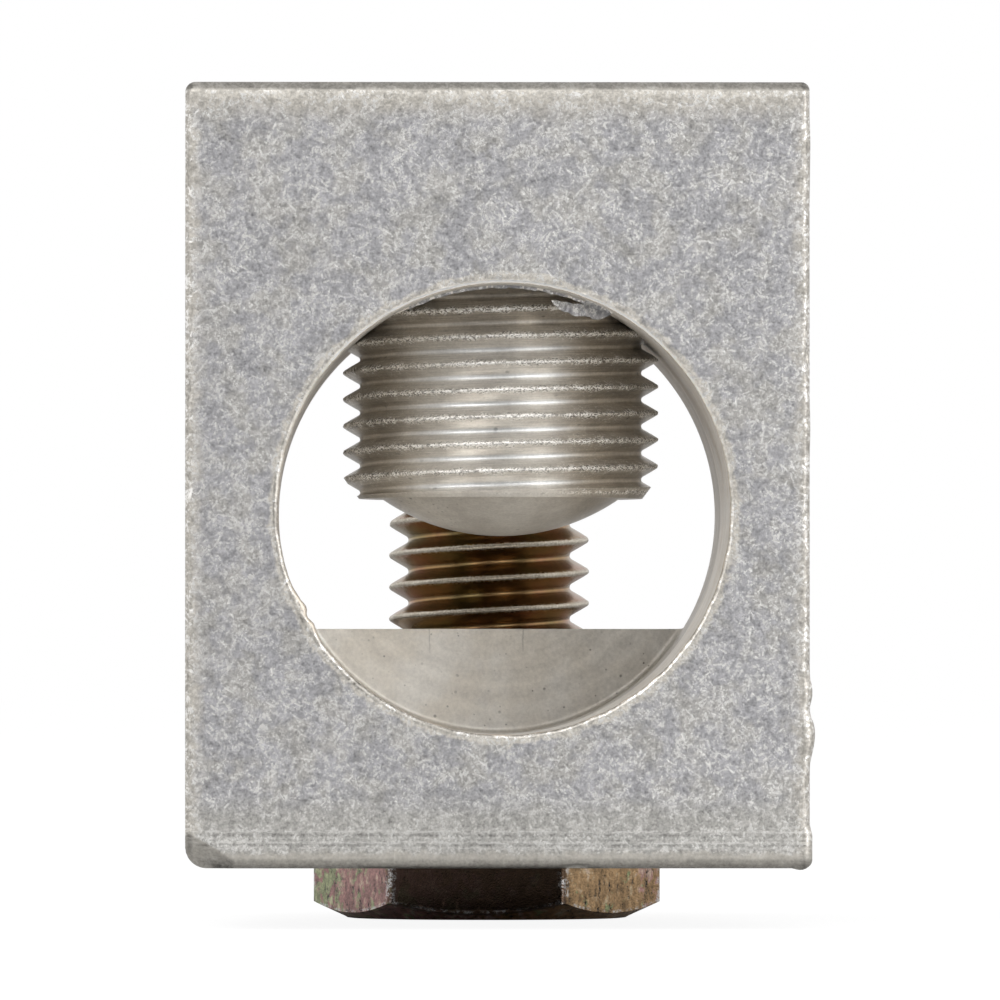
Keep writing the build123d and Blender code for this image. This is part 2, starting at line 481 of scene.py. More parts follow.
def wear_thread(obj, thread, depth, scale, low, high):
    """Small knocks along the crests of a thread between two heights."""
    co, _ = vertex_data(obj.data)
    centre, crest = thread["centre"], thread["crest"]
    radius = np.hypot(co[:, 0] - centre[0], co[:, 1] - centre[1])
    weight = smooth(radius, crest - 0.35, crest - 0.05) * (co[:, 2] > low) * (co[:, 2] < high)
    picked = np.nonzero(weight > 0)[0]
    q = co[picked]
    knock = np.abs(noises(q, scale, (0, 0, 5))) + 0.6 * np.abs(noises(q, scale * 2.3, (8, 0, 0)))
    pull = 1 - weight[picked] * (depth * knock) / radius[picked]
    for k in range(2):
        co[picked, k] = centre[k] + (co[picked, k] - centre[k]) * pull
    store(obj.data, co)


block = block_blank()
for cutter in (
    bore_cutter(),
    tap(SCREW, low=25, high=50.5, segments=144),
    countersink(SCREW, BARREL_TOP, 1, SCREW_HOLE, SCREW_SINK),
    tap(BOLT, low=4.5, high=19.5, segments=120),
    countersink(BOLT, TONGUE_TOP, 1, BOLT_HOLE, BOLT_SINK),
    countersink(BOLT, TONGUE_BOTTOM, -1, BOLT_HOLE, BOLT_SINK),
):
    boolean(block, cutter, "DIFFERENCE")
for burr in (burr_flake(), burr_ridge()):
    boolean(block, burr, "UNION")
places, normals = vertex_data(block.data)
nick_edges(places, normals)
round_corners(places)
swell_edges(places)
roughen_mouth(places)
store(block.data, places)


def setscrew():
    """Setscrew: a threaded rod cut to its turned shape, with the hex socket in its upper end."""
    obj = mesh_object("wire_setscrew", *threaded_rod(low=21, high=51, segments=240, **SCREW))
    ring_z, clear, end_chamfer = SCREW_TIP + DOME_HEIGHT, 9.63, 1.1
    sphere = (DOME_RADIUS ** 2 + DOME_HEIGHT ** 2) / (2 * DOME_HEIGHT)
    half = math.asin(DOME_RADIUS / sphere)
    angles = [half * i / 24 for i in range(25)]
    rows = [(SCREW_TIP + sphere * (1 - math.cos(a)), sphere * math.sin(a)) for a in angles]
    rows += [(ring_z, POINT_RING), (ring_z + 1.56, clear), (SCREW_TOP - end_chamfer, clear)]
    rows += [(SCREW_TOP, clear - end_chamfer), (SCREW_TOP, 6.5), (SCREW_TOP, 0)]
    boolean(obj, turned("envelope", rows, SCREW["centre"], 240), "INTERSECT")
    floor_z, above, corner = SCREW_TOP - SOCKET_DEPTH, SCREW_TOP + 1, SOCKET_FLATS / math.sqrt(3)
    rows = [(floor_z, 0), (floor_z, corner), (above, corner), (above, 0)]
    boolean(obj, turned("hexagon", rows, SCREW["centre"], 6), "DIFFERENCE")
    boolean(obj, countersink(SCREW, SCREW_TOP, 1, 4.9, 0.6), "DIFFERENCE")
    wear_thread(obj, SCREW, 0.12, 1.3, ring_z + 0.3, SCREW_TOP - 0.2)
    return obj


def hex_head():
    """The bolt's head with soft corners, its lower end turned to a cone, under its washer face."""
    soft = 0.45
    corner = HEAD_FLAT / math.cos(math.radians(30))
    inner = corner - soft / math.cos(math.radians(30))

    def rounded(k, s):
        """Point s of 0 to 6 on the rounding of corner k."""
        middle = 60 * k + HEAD_TURN
        (cx, cy), (dx, dy) = polar(inner, middle), polar(soft, middle - 30 + 10 * s)
        return cx + dx, cy + dy

    outline = []
    for k in range(6):
        outline += [rounded(k, s) for s in range(7)]
        (px, py), (qx, qy) = outline[-1], rounded(k + 1, 0)
        outline += [(px + (qx - px) * i / 24, py + (qy - py) * i / 24) for i in range(1, 24)]
    levels = np.linspace(-0.5, HEAD_HEIGHT - WASHER_FACE, 22)
    rings = [[(HEAD_X + x, BOLT_Y + y, z) for x, y in outline] for z in levels]
    head = mesh_object("head", *loft(rings))
    rows = [(0, 0), (0, HEAD_END - 0.15), (0.03, HEAD_END + 0.1)]
    rows += [(HEAD_SLOPE * (r - HEAD_END), r) for r in np.linspace(HEAD_END + 0.3, corner + 1, 12)]
    rows += [(HEAD_HEIGHT, corner + 1), (HEAD_HEIGHT, 0)]
    boolean(head, turned("turned", rows, (HEAD_X, BOLT_Y), 240), "INTERSECT")
    low, high = HEAD_HEIGHT - 2 * WASHER_FACE, HEAD_HEIGHT
    boolean(head, cone(BOLT["centre"], low, WASHER_RADIUS, high, WASHER_RADIUS), "UNION")
    return head


def mounting_bolt():
    """Mounting bolt: a threaded rod cut to length with a chamfered end, on its head."""
    obj = mesh_object("hex_bolt", *threaded_rod(low=8.5, high=35, segments=200, **BOLT))
    clear, start, end_chamfer = 6.4, 7.0, 1.4
    rows = [(start, 0), (start, clear), (BOLT_TOP - end_chamfer, clear)]
    rows += [(BOLT_TOP, clear - end_chamfer), (BOLT_TOP, 0)]
    boolean(obj, turned("envelope", rows, BOLT["centre"], 200), "INTERSECT")
    boolean(obj, hex_head(), "UNION")
    wear_thread(obj, BOLT, 0.1, 1.2, TONGUE_BOTTOM + 0.1, BOLT_TOP - 0.1)
    return obj


screw = setscrew()
bolt = mounting_bolt()

for obj, body, node, slot in (
    (block, "lug", "lug_body", "tin_plated_aluminium"),
    (screw, "wire_screw", "setscrew", "setscrew_aluminium"),
    (bolt, "bolt", "mounting_bolt", "yellow_zinc_steel"),
):
    mesh = obj.data
    mesh.materials.clear()
    mesh.shade_smooth()
    mesh.set_sharp_from_angle(angle=math.radians(32))
    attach(obj, body)
    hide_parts(node)


class Graph:
    """The node tree of a material or world, with short calls for its nodes."""

    def __init__(self, owner):
        self.owner = owner
        owner.use_nodes = True
        self.tree = owner.node_tree
        self.tree.nodes.clear()

    def node(self, kind, inputs=None, **settings):
        made = self.tree.nodes.new("ShaderNode" + kind)
        for key, value in settings.items():
            setattr(made, key, value)
        for key, value in (inputs or {}).items():
            self.feed(made.inputs[key], value)
        return made

    def feed(self, socket, value):
        """Links a socket, or sets it to a value: one number on a colour is a grey."""
        if isinstance(value, bpy.types.NodeSocket):
            self.tree.links.new(value, socket)
        elif isinstance(value, (int, float)) and socket.type == "RGBA":
            socket.default_value = (value, value, value, 1)
        elif socket.type == "RGBA":
            socket.default_value = (*value, 1)
        else:
            socket.default_value = value

    def math(self, operation, *values):
        return self.node("Math", dict(enumerate(values)), operation=operation).outputs[0]

    def times(self, *values):
        total = values[0]
        for value in values[1:]:
            total = self.math("MULTIPLY", total, value)
        return total

    def add(self, *terms):
        """Sum of the terms, where a tuple stands for the product of its members."""
        values = [self.times(*term) if isinstance(term, tuple) else term for term in terms]
        total = values[0]
        for value in values[1:]:
            total = self.math("ADD", total, value)
        return total

    def minus(self, a, b):
        return self.math("SUBTRACT", a, b)

    def rest(self, share):
        return self.math("SUBTRACT", 1.0, share)

    def most(self, a, b):
        return self.math("MAXIMUM", a, b)

    def least(self, a, b):
        return self.math("MINIMUM", a, b)

    def swing(self, value, gain):
        """A noise's swing about its middle, times gain."""
        return self.times(self.minus(value, 0.5), gain)

    def hypot(self, a, b):
        return self.math("SQRT", self.add((a, a), (b, b)))

    def step(self, value, low, high, to=(0.0, 1.0)):
        """Smooth step of value from low to high, between the two values in to."""
        inputs = {"Value": value, "From Min": low, "From Max": high, "To Min": to[0], "To Max": to[1]}
        return self.node("MapRange", inputs, interpolation_type="SMOOTHSTEP").outputs["Result"]

    def ease(self, share, a, b):
        """From a to b as the share goes from 0 to 1."""
        return self.step(share, 0.0, 1.0, (a, b))

    def vector(self, operation, *values):
        made = self.node("VectorMath", operation=operation)
        for i, value in enumerate(values):
            self.feed(made.inputs["Scale" if operation == "SCALE" and i == 1 else i], value)
        return made.outputs["Value" if operation == "DOT_PRODUCT" else "Vector"]

    def combine(self, x, y, z):
        return self.node("CombineXYZ", {"X": x, "Y": y, "Z": z}).outputs[0]

    def split(self, coord):
        return tuple(self.node("SeparateXYZ", {"Vector": coord}).outputs)

    def mix(self, a, b, share):
        made = self.node("Mix", data_type="RGBA")
        sockets = {s.identifier: s for s in (*made.inputs, *made.outputs)}
        for name, value in (("Factor_Float", share), ("A_Color", a), ("B_Color", b)):
            self.feed(sockets[name], value)
        return sockets["Result_Color"]

    def tint(self, colour, factor):
        """Colour times a grey factor."""
        return self.vector("SCALE", colour, factor)

    def noise(self, coord, scale, detail=2.0, rough=0.5, distortion=0.0):
        values = {"Vector": coord, "Scale": scale, "Detail": detail, "Roughness": rough}
        return self.node("TexNoise", values | {"Distortion": distortion}).outputs[0]

    def noise_along(self, value):
        """Noise in one dimension."""
        values = {"W": value, "Detail": 4.0, "Scale": 1.0}
        return self.node("TexNoise", values, noise_dimensions="1D").outputs[0]

    def cells(self, coord, scale):
        """Distance, Color and Position of the nearest of many random cells."""
        return self.node("TexVoronoi", {"Vector": coord, "Scale": scale, "Randomness": 1.0}).outputs

    def spots(self, coord, scale, size, core, rare, sure):
        """Round spots in random cells, full inside core and gone past size."""
        found = self.cells(coord, scale)
        chance = self.step(self.split(found["Color"])[0], rare, sure)
        return self.times(self.step(found["Distance"], size, core), chance)

    def line(self, value, centre, half):
        """A soft line where value passes centre."""
        off = self.times(self.minus(value, centre), 1 / half)
        return self.math("EXPONENT", self.times(off, off, -1.0))

    def flatten(self, vector, normal):
        """The part of a vector that lies in the surface."""
        across = self.vector("SCALE", normal, self.vector("DOT_PRODUCT", vector, normal))
        return self.vector("SUBTRACT", vector, across)

    def strokes(self, coord, normal, scale, long, wide, offset):
        """Short dents, one to each random cell and in a random direction: (strength, random number)."""
        shifted = self.vector("ADD", coord, offset)
        found = self.cells(shifted, scale)
        away = self.vector("SCALE", self.vector("SUBTRACT", shifted, found["Position"]), scale)
        away = self.flatten(away, normal)
        way = self.flatten(self.vector("SUBTRACT", found["Color"], (0.5, 0.5, 0.5)), normal)
        along = self.vector("DOT_PRODUCT", away, self.vector("NORMALIZE", way))
        along = self.times(along, along)
        across = self.minus(self.vector("DOT_PRODUCT", away, away), along)
        total = self.add((along, 1 / long**2), (across, 1 / wide**2))
        return self.math("EXPONENT", self.times(total, -1.0)), self.split(found["Color"])[1]

    def finish(self, colour, roughness, height, distance, metallic=1.0, drawn_round=0.0):
        """Metal with a bump of height times distance, in metres, and marks drawn round the Z axis."""
        bump = self.node("Bump", {"Height": height, "Distance": distance, "Strength": 1.0}).outputs[0]
        inputs = {"Base Color": colour, "Roughness": roughness, "Metallic": metallic, "Normal": bump}
        if drawn_round:
            tangent = self.node("Tangent", direction_type="RADIAL", axis="Z").outputs[0]
            inputs |= {"Anisotropic": drawn_round, "Anisotropic Rotation": 0.25, "Tangent": tangent}
        self.node("OutputMaterial", {0: self.node("BsdfPrincipled", inputs).outputs[0]})
        return self.owner


def new_metal(name):
    """Graph of a new material, with the piece's own coordinates in millimetres."""
    g = Graph(bpy.data.materials.new(name))
    p = g.vector("SCALE", g.node("TexCoord").outputs["Object"], 1000.0)
    return g, p, *g.split(p)


def edge_distance(g, x, y, z):
    """Millimetres from a point on the lug body to the nearest outer edge of its face."""
    tongue = g.math("GREATER_THAN", y, BARREL_REAR + 0.05)
    low = g.least(g.minus(z, BARREL_BOTTOM), g.minus(BARREL_TOP, z))
    thin = (g.math("ABSOLUTE", g.minus(z, TONGUE_BOTTOM)), g.math("ABSOLUTE", g.minus(TONGUE_TOP, z)))
    dz = g.add((low, g.rest(tongue)), (g.least(*thin), tongue))
    joined = g.times(g.math("GREATER_THAN", z, TONGUE_BOTTOM), g.math("LESS_THAN", z, TONGUE_TOP))
    rear = g.minus(g.add(BARREL_REAR, (joined, TONGUE_END - BARREL_REAR)), y)
    dy = g.least(g.minus(y, FRONT), g.math("ABSOLUTE", rear))
    dx = g.minus(HALF_WIDTH, g.math("ABSOLUTE", x))
    return g.most(g.least(dx, dy), g.least(g.most(dx, dy), dz))


def tumbled_tin():
    """Tumbled tin plating: grey ground under clumps of bright nicks with painted glints, worn warm at
    its edges, with painted shade and highlights along the edges and at the bore's mouth.
    """
    g, p, x, y, z = new_metal("tumbled_tin")
    normal = g.node("NewGeometry").outputs["True Normal"]
    broad = g.noise(p, 0.28)
    patches = g.noise(p, 0.85, 3, 0.62)
    mottle = g.noise(p, 2.3, 3, 0.65)
    grain = g.noise(p, 6.5, 2, 0.6)
    foam = g.noise(p, 3.6, 3, 0.66, 0.8)
    hue = g.noise(g.vector("ADD", p, (0.0, 70.0, 0.0)), 0.5, 3.0, 0.6)
    bold, luck_bold = g.strokes(p, normal, 1.25, 0.46, 0.085, (0, 0, 0))
    fine, luck_fine = g.strokes(p, normal, 2.3, 0.47, 0.19, (31.0, 7.0, 3.0))
    dots, luck_dots = g.strokes(p, normal, 3.9, 0.45, 0.28, (11.0, 43.0, 19.0))
    hair = g.times(g.line(g.noise(p, 0.55, 1, 0.5, 1.6), 0.5, 0.005), g.step(mottle, 0.5, 0.6))

    # Outer edges: worn and warm, with painted shade in dark bands along the front face's own edges, and
    # a painted highlight just inside its left edge
    front = g.step(y, FRONT + 0.5, FRONT + 0.25)
    near = g.step(y, FRONT + 1.2, FRONT + 0.7)
    edge = edge_distance(g, x, y, z)
    ragged = g.swing(patches, 2.2)
    worn = g.step(g.add(edge, ragged), 1.25, 0.15)
    to_top, to_bottom = g.minus(BARREL_TOP, z), g.minus(z, BARREL_BOTTOM)
    to_left, to_right = g.add(x, HALF_WIDTH), g.minus(HALF_WIDTH, x)
    band = g.times(g.step(g.add(to_top, (ragged, 0.7)), 2.7, 0.9), near)
    # Painted shade: dark bands on the roundings of the front face's top, bottom, left and right edges
    dark = g.add((g.step(to_top, 0.66, 0.36), 0.64), (g.step(to_bottom, 0.66, 0.38), 0.26),
                 (g.step(to_bottom, 0.34, 0.14), 0.18),
                 (g.step(to_left, 0.48, 0.32), g.step(to_left, 0.04, 0.2), 0.2),
                 (g.line(to_right, 0.34, 0.14), 0.25))
    # More painted shade: a faint dark band near the edges of the other faces
    dark = g.add((dark, near), (g.step(edge, 0.36, 0.2), g.rest(near), 0.2))
    # Painted highlight: a lighter band just inside the front face's left edge
    rim = g.times(g.step(to_left, 0.42, 0.55), g.step(to_left, 1.05, 0.8), near)

    # The bore's lip, the worn bevel and the smeared lower edge
    at_mouth = g.step(y, FRONT + 0.9, FRONT + 0.5)
    dx, dz = g.minus(x, BORE_X), g.minus(z, BORE_Z)
    radius = g.hypot(dx, dz)
    reach = g.add(BORE_R + 0.56, g.swing(patches, 0.9), g.swing(mottle, 0.6))
    lip = g.times(g.step(g.minus(radius, reach), 0.14, -0.14), at_mouth)
    above = g.vector("DOT_PRODUCT", g.vector("SUBTRACT", p, tuple(BEVEL[0])), tuple(BEVEL_NORMAL))
    bevel = g.times(g.step(above, -0.1, -0.02), g.step(x, -14.5, -15.5), g.step(z, 6.2, 5.8),
                    g.step(y, FRONT + 2.5, FRONT + 1.5))
    low = g.step(g.add(z, g.swing(patches, 0.6)), 4.75, 4.35)
    smear = g.most(bevel, g.times(front, low))

    # Lines drawn by the die above the lower edge, falling 0.07 mm over the width
    slanted = g.add(z, (g.add(x, HALF_WIDTH), 0.07 / (2 * HALF_WIDTH)))
    along = g.combine(g.times(x, 1.7), g.times(slanted, 9.0), 0.0)
    broken = g.step(g.noise(along, 1.0, 3, 0.65), 0.46, 0.6)
    drawn = g.add(g.line(slanted, 5.83, 0.085), (g.line(slanted, 5.43, 0.07), 0.45),
                  g.line(slanted, 5.18, 0.085), (g.line(slanted, 4.86, 0.075), 0.7))
    furrow = g.add(g.line(slanted, 5.6, 0.1), (g.line(slanted, 5.32, 0.06), 0.4),
                   g.line(slanted, 5.03, 0.085))
    drawn, furrow = g.times(drawn, front), g.times(furrow, front)

    # Painted glints: bright nicks painted white into the colour, crowded in clumps, fewer near the
    # bottom and on the smeared parts and the painted edge shade
    crowd = g.add((patches, 0.45), (mottle, 0.42), (broad, 0.13), (worn, 0.03))
    crowd = g.step(crowd, 0.43, 0.58, (0.06, 1.0))
    painted_glint = g.add((g.step(bold, 0.25, 0.6), g.step(luck_bold, 0.3, 0.9)),
                  (g.step(fine, 0.25, 0.6), g.step(luck_fine, 0.32, 0.95)),
                  (g.step(dots, 0.25, 0.6), g.step(luck_dots, 0.45, 1.0)),
                  (g.step(foam, 0.53, 0.66), 0.9), (hair, 0.85))
    calm = g.times(g.step(g.add(z, (ragged, 0.6)), 8.4, 6.2), front)
    quiet = g.least(g.add(smear, (dark, 2.2)), 1.0)
    painted_glint = g.least(g.times(painted_glint, crowd), 1.0)
    painted_glint = g.times(painted_glint, g.ease(calm, 1.0, 0.62), g.ease(quiet, 1.0, 0.1))
    painted_glint = g.most(painted_glint, g.times(drawn, broken, 0.45))

    # Tone: a painted highlight ring at the bore's mouth, stronger above, and a lip painted lighter with
    # painted shade towards the left
    upper = g.times(g.most(dz, 0.0), 1 / BORE_R)
    lower = g.times(g.least(dz, 0.0), -1 / BORE_R)
    leftward = g.times(g.least(dx, 0.0), -1 / BORE_R)
    painted_ring_light = g.add((upper, 1.6), (lower, -0.14), (leftward, leftward, 0.6))
    ring = g.times(g.step(radius, BORE_R + 0.3, BORE_R + 0.08), painted_ring_light, at_mouth)
    # Painted shade on the lip's inner part towards the left and below, a little painted light towards
    # the top
    peak = g.step(radius, BORE_R + 0.4, BORE_R + 0.26)
    painted_lip_shade = g.add(0.22, (peak, g.add((leftward, -0.5), (lower, -0.16), (upper, 0.04))))
    uneven = g.add(g.swing(patches, 0.45), g.swing(mottle, 1.15), g.swing(grain, 1.35))
    tone = g.add(1.0, g.swing(broad, 0.3), (uneven, g.ease(quiet, 1.0, 0.45)), (furrow, -0.17),
                 (drawn, 0.08), (worn, 0.08), (band, 0.09), (lip, painted_lip_shade), (bevel, -0.28), (dark, -1.0),
                 (rim, 0.1), ring)
    grey, warm_grey, calm_grey = (0.424, 0.419, 0.434), (0.446, 0.433, 0.416), (0.455, 0.443, 0.42)
    # white is the colour painted for the glints
    worn_tan, smeared_tan, white = (0.5, 0.473, 0.428), (0.5, 0.475, 0.43), (1.0, 0.985, 0.955)
    ground = g.mix(grey, warm_grey, g.step(g.add((hue, 0.7), (patches, 0.3)), 0.44, 0.6))
    ground = g.mix(ground, calm_grey, calm)
    ground = g.mix(ground, worn_tan, g.most(g.most(worn, lip), band))
    ground = g.mix(ground, smeared_tan, g.most(smear, g.least(g.times(dark, 2.0), 1.0)))
    colour = g.mix(g.tint(ground, tone), white, painted_glint)
    height = g.add((bold, -0.8), (furrow, -0.5), (drawn, 0.3), (mottle, 0.9))
    rough = g.step(painted_glint, 0.0, 0.8, (0.44, 0.34))
    return g.finish(colour, rough, height, 0.000006, metallic=0.85)


def machined_tin():
    """The drilled and blind surfaces: smoother and warmer, with tool rings and small dark pits; painted
    light makes the blind end lighter to the left, the wall lighter near the mouth and the blind corner's
    fillet lighter.
    """
    g, p, x, y, z = new_metal("machined_tin")
    radius = g.hypot(g.minus(x, BORE_X), g.minus(z, BORE_Z))
    clouds = g.noise(p, 0.3, 3, 0.55)
    wobble = g.noise(p, 1.1, 3, 0.6)
    grain = g.noise(p, 5.0, 3, 0.65)
    blind = g.step(y, BLIND_END - 0.5, BLIND_END - 0.1)
    wall = g.rest(blind)
    rings = g.noise_along(g.add((radius, 1.3), (wobble, 0.35)))
    feed = g.noise_along(g.add((y, 2.4), (wobble, 0.4)))
    marks = g.add((rings, blind), (feed, wall))
    pit = g.most(g.spots(p, 1.5, 0.2, 0.08, 0.62, 0.97), g.spots(p, 3.1, 0.26, 0.104, 0.74, 0.97))
    pit = g.times(pit, g.step(g.add(wobble, (g.step(radius, 8.5, 12.5), 0.1)), 0.44, 0.58))
    wavering = g.add(x, (wobble, 0.25))
    cracks = g.add(g.line(wavering, -3.55, 0.035), g.line(wavering, 2.12, 0.035))
    cracks = g.times(cracks, blind, g.step(z, 16.2, 16.8))
    mouth = g.step(y, FRONT + 0.55, FRONT + 0.15)
    # Painted light: the blind end painted lighter to the left and darker to the right, where light
    # through the mouth falls
    painted_light_gradient = g.times(blind, g.step(g.add(x, g.swing(clouds, 8.0)), 9.0, -7.5, (-0.16, 0.22)))
    # Painted highlight: the blind corner's fillet painted lighter against its dark reflection
    painted_fillet_light = g.times(g.step(radius, BORE_R - 0.42, BORE_R - 0.25),
                     g.step(y, BLIND_END - 0.5, BLIND_END - 0.3))
    # The tone's wall term is painted light: the wall within about 17.5 mm of the front painted lighter
    tone = g.add(1.0, (blind, -0.06), g.swing(clouds, 0.3), g.swing(grain, 0.42),
                 g.swing(wobble, 0.26), g.swing(marks, 0.22), (pit, -0.5), (cracks, -0.3), (mouth, -0.2),
                 painted_light_gradient, (wall, g.step(y, FRONT + 19.0, FRONT + 17.5), 0.3), (painted_fillet_light, 0.16))
    ground = g.mix((0.7, 0.665, 0.61), (0.74, 0.72, 0.685), g.step(clouds, 0.35, 0.65))
    colour = g.tint(g.mix(ground, (0.55, 0.45, 0.34), g.times(mouth, 0.5)), tone)
    height = g.add((marks, 0.8), (grain, 0.6), (pit, -1.5))
    return g.finish(colour, g.ease(blind, 0.5, 0.54), height, 0.000008, metallic=0.8)


def thread_place(g, p, centre, pitch, crest_height, **_):
    """Pitches from the nearest crest (0.5 at the root), turns along the thread, angle and radius."""
    x, y, z = g.split(p)
    dx, dy = g.minus(x, centre[0]), g.minus(y, centre[1])
    angle = g.math("ARCTAN2", dy, dx)
    turn = g.minus(g.times(g.minus(z, crest_height), 1 / pitch), g.times(angle, 1 / (2 * math.pi)))
    return g.math("PINGPONG", turn, 0.5), turn, angle, g.hypot(dx, dy)


def bright_tin():
    """The setscrew's plating: drawn round by the rollers, its crests worn to broken bright lines with
    painted glints, with painted highlights along the roots and painted shade where the bore shades it.
    """
    g, p, x, _, z = new_metal("bright_tin")
    phase, turn, angle, radius = thread_place(g, p, **SCREW)
    outer = g.times(g.step(radius, 7.4, 7.8), g.step(z, SCREW_TOP - 0.02, SCREW_TOP - 0.1))
    across = g.add((turn, 21.0), (g.rest(outer), radius, 11.0))
    drawn = g.noise(g.combine(g.times(angle, 2.6), across, g.times(phase, 3.0)), 1.0, 4.0, 0.7)
    grain = g.noise(p, 6.0, 3, 0.65)
    speck = g.noise(g.vector("MULTIPLY", p, (1.0, 1.0, 1.5)), 7.5, 2.0, 0.6)
    clouds = g.noise(p, 0.45, 3, 0.55)
    clumps = g.noise(p, 1.3, 2, 0.6)

    # Painted glints: crests with broken bright lines and stray bright specks on the flanks, painted
    # white; and dark pits
    shank = g.times(g.step(z, SCREW_TIP + 2.3, SCREW_TIP + 2.6), outer)
    jitter = g.add(g.swing(grain, 0.2), g.swing(clumps, -0.3))
    crest = g.times(g.step(g.add(phase, jitter), 0.15, 0.07), shank)
    # Painted highlight: the roots are painted a little lighter and cooler
    root = g.times(g.step(phase, 0.37, 0.46), shank)
    collar = g.times(g.step(z, SCREW_TIP + 2.0, SCREW_TIP + 2.2),
                     g.step(z, SCREW_TIP + 3.2, SCREW_TIP + 2.6))
    spark = g.times(crest, g.step(speck, 0.44, 0.55), g.step(clumps, 0.36, 0.56, (0.45, 1.0)))
    side = g.step(g.math("ABSOLUTE", g.add(x, 0.6)), 2.8, 5.5, (0.3, 1.0))
    stray = g.times(g.step(speck, 0.55, 0.65), g.step(phase, 0.42, 0.16, (0.3, 1.0)),
                    g.step(clumps, 0.4, 0.54), side, shank)
    pit = g.times(g.spots(p, 1.4, 0.26, 0.1, 0.72, 0.97), g.step(clouds, 0.47, 0.58))
    cluster = g.times(g.spots(p, 3.6, 0.34, 0.15, 0.45, 0.8), g.step(x, -1.5, -2.6),
                      g.step(z, SCREW_TIP + 2.25, SCREW_TIP + 2.0), g.step(clumps, 0.42, 0.55))
    pit = g.most(pit, cluster)

    # Painted shade: darker and warmer on both sides and in the upper turns, where the bore's walls and
    # ceiling shade the screw, and a little darker at the point
    painted_bore_shade = g.most(g.most(g.step(x, 3.2, 6.2), g.step(x, -3.8, -7.2)), g.step(z, 33.8, 36.8))
    tone = g.add(1.0, (painted_bore_shade, -0.3), (g.rest(shank), -0.13),
                 g.swing(drawn, g.ease(shank, 0.1, 1.05)), g.swing(grain, 0.45), g.swing(clouds, 0.25),
                 g.swing(clumps, 0.25), (pit, -0.42), (crest, g.step(speck, 0.5, 0.4), -0.42),
                 (root, 0.1))
    ground = g.mix((0.66, 0.625, 0.575), (0.7, 0.67, 0.62), g.step(clouds, 0.4, 0.6))
    ground = g.mix(g.mix(ground, (0.69, 0.69, 0.685), root), (0.69, 0.625, 0.535), painted_bore_shade)
    painted_glint = g.least(g.add((spark, 0.95), (stray, 0.7)), 1.0)
    colour = g.mix(g.tint(ground, tone), (0.98, 0.955, 0.91), painted_glint)
    rugged = g.most(crest, g.times(collar, 0.6))
    height = g.add((drawn, 1.2), (rugged, grain, 6.0), (grain, 0.7), (pit, -1.2), (stray, 1.5))
    rough = g.ease(g.most(crest, root), 0.33, 0.42)
    return g.finish(colour, rough, height, 0.00001, metallic=0.78, drawn_round=0.6)


